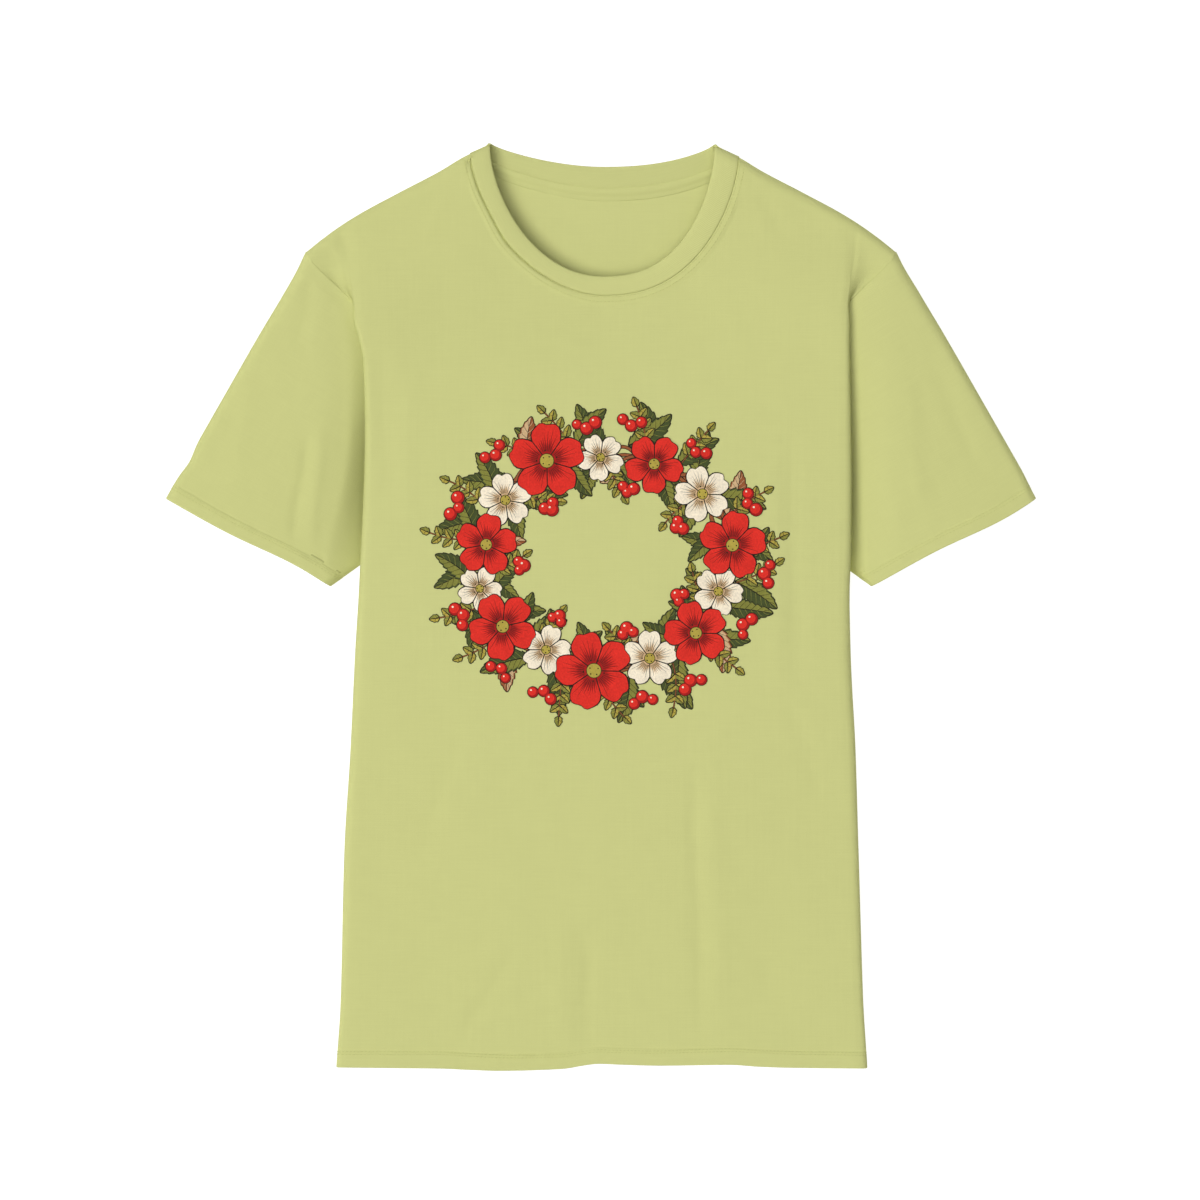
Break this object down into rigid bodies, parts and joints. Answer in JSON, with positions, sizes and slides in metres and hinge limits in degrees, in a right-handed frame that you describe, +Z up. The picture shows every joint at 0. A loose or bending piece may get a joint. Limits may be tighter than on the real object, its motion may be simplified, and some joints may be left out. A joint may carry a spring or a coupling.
{
  "type": "short-sleeved t-shirt",
  "caption": "Short-sleeved crew-neck T-shirt in cotton jersey, laid flat on its back with the sides tucked in; hollow torso and sleeves, ribbed neckband.",
  "frame": {"origin": "middle of the shirt's outline, on the surface that it lies on", "axes": "+X across the shirt to the right as seen from above, +Y from the hem towards the neck, +Z up out of the front"},
  "size_m": [0.696, 0.7401, 0.0351],
  "materials": {
    "jersey": "matt cotton jersey, pale lime green",
    "rib": "matt cotton rib knit, pale lime green",
    "thread": "matt sewing thread, pale lime green",
    "print": "matt printed ink in several flat colours"
  },
  "bodies": {
    "root": {"front_panel": "jersey", "back_panel": "jersey", "sleeve_left": "jersey", "sleeve_right": "jersey", "neckband": "rib", "neck_tape": "jersey"}
  },
  "joints": []
}
